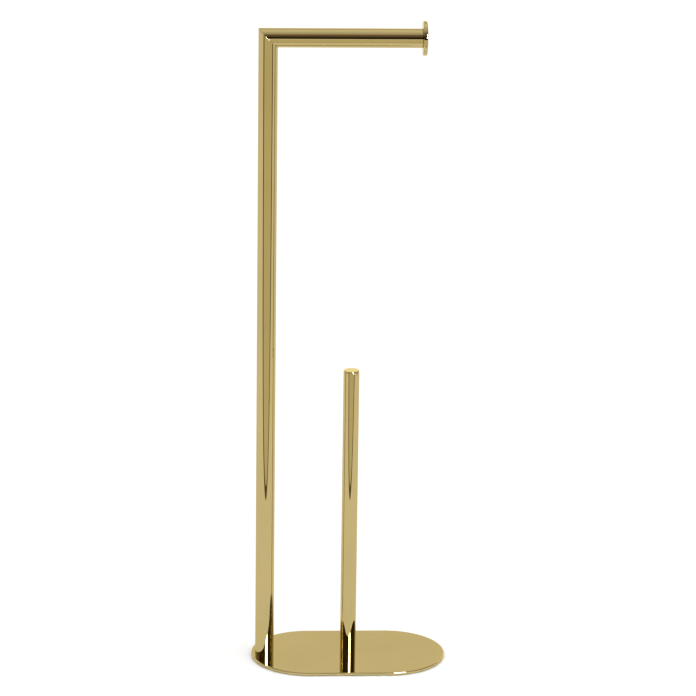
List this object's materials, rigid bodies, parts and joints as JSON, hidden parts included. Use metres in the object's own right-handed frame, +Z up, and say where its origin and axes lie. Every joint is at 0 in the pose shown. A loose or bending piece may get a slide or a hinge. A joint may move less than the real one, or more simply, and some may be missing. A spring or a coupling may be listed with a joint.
{
  "type": "toilet roll stand",
  "caption": "Free-standing toilet roll stand: round-ended base plate, tall tube post with a mitred horizontal arm and end disc, and a shorter capped post for spare rolls.",
  "frame": {"origin": "on the floor, under the middle of the base plate", "axes": "+X along the arm towards its end disc, +Y to the back, +Z up"},
  "size_m": [0.198, 0.118, 0.659],
  "materials": {
    "polished_gold": "mirror-polished steel with a pale gold plating",
    "pad": "thin matt black non-slip foam rubber",
    "plug_steel": "turned steel, zinc plated",
    "screw_steel": "black-oxide steel"
  },
  "bodies": {
    "root": {"base_plate": "polished_gold", "main_post": "polished_gold", "arm_tube": "polished_gold", "end_disc": "polished_gold", "reserve_post": "polished_gold", "reserve_cap": "polished_gold", "base_pad": "pad", "main_foot_plug": "plug_steel", "reserve_foot_plug": "plug_steel", "arm_end_plug": "plug_steel", "locating_pin": "plug_steel", "base_screws": "screw_steel", "disc_stud": "screw_steel"}
  },
  "joints": []
}
